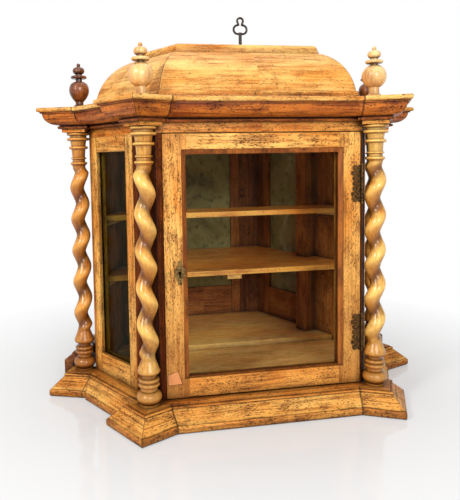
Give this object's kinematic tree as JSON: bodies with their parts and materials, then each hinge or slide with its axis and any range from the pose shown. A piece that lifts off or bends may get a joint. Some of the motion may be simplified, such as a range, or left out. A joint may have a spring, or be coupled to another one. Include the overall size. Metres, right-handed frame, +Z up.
{
  "type": "display cabinet",
  "caption": "Six-sided glazed display cabinet with barley-twist corner columns, moulded foot blocks, a domed roof with turned finials and a hinged glass door.",
  "frame": {"origin": "on the floor, under the middle of the front wall's outer face", "axes": "+X to the viewer's right when facing the door, +Y from the door to the back, +Z up"},
  "size_m": [0.734, 0.6385, 0.6865],
  "materials": {
    "oak": "waxed",
    "oak_dark": "waxed",
    "oak_light": "waxed",
    "column_wood": "polished",
    "walnut": "polished",
    "glass": "clear",
    "brass": "aged",
    "iron": "worn"
  },
  "bodies": {
    "carcass": {"base_slab": "oak", "base_slope": "oak", "base_plinth": "oak", "rear_base_left": "oak_dark", "rear_base_back": "oak_dark", "rear_base_right": "oak_dark", "floor_board": "oak_light", "raised_floor": "oak_light", "post_front_left": "oak", "post_front_right": "oak", "post_side_left": "oak", "post_side_right": "oak", "post_rear_left": "oak_dark", "post_rear_right": "oak_dark", "side_frame_left": "oak", "side_frame_right": "oak", "side_pane_left": "glass", "side_pane_right": "glass", "rear_board_left": "oak_dark", "rear_board_right": "oak_dark", "rear_frame_left": "oak_dark", "rear_frame_right": "oak_dark", "rear_pane_left": "glass", "rear_pane_right": "glass", "back_frame": "oak_dark", "back_pane": "glass", "inner_post_left": "oak_dark", "inner_post_right": "oak_dark", "shelf_middle": "oak_dark", "shelf_upper": "oak_dark", "shelf_batten": "oak_light", "shelf_cleats": "oak_light", "column_front_left": "column_wood", "column_front_right": "column_wood", "column_side_left": "column_wood", "column_side_right": "column_wood", "frieze": "oak", "ceiling_board": "oak_light", "cornice_moulding": "oak", "cornice_board": "oak", "roof_frame": "oak", "dome_panels": "oak_light", "top_board": "oak_light", "finials": "column_wood", "finial_dark": "walnut", "hinges_fixed": "brass", "hinge_pins": "brass", "lock_keep": "brass"},
    "door": {"door_stile_left": "oak", "door_stile_right": "oak", "door_rail_top": "oak", "door_rail_bottom": "oak", "door_bead": "oak_dark", "door_pane": "glass", "hinges_door": "brass", "escutcheon": "brass", "lock_case": "iron"},
    "lock_bolt": {"lock_bolt": "iron"},
    "key": {"key": "iron"}
  },
  "joints": [
    {"name": "door_hinge", "type": "hinge", "parent": "carcass", "child": "door", "pos_m": [0.1749, -0.0028, 0.257], "axis": [0, 0, 1], "range_deg": [0, 100]},
    {"name": "bolt_slide", "type": "slide", "parent": "door", "child": "lock_bolt", "axis": [-1, 0, 0], "range_m": [0, 0.007]},
    {"name": "key_lift", "type": "slide", "parent": "carcass", "child": "key", "axis": [0, 0, 1], "range_m": [0, 0.036]}
  ]
}
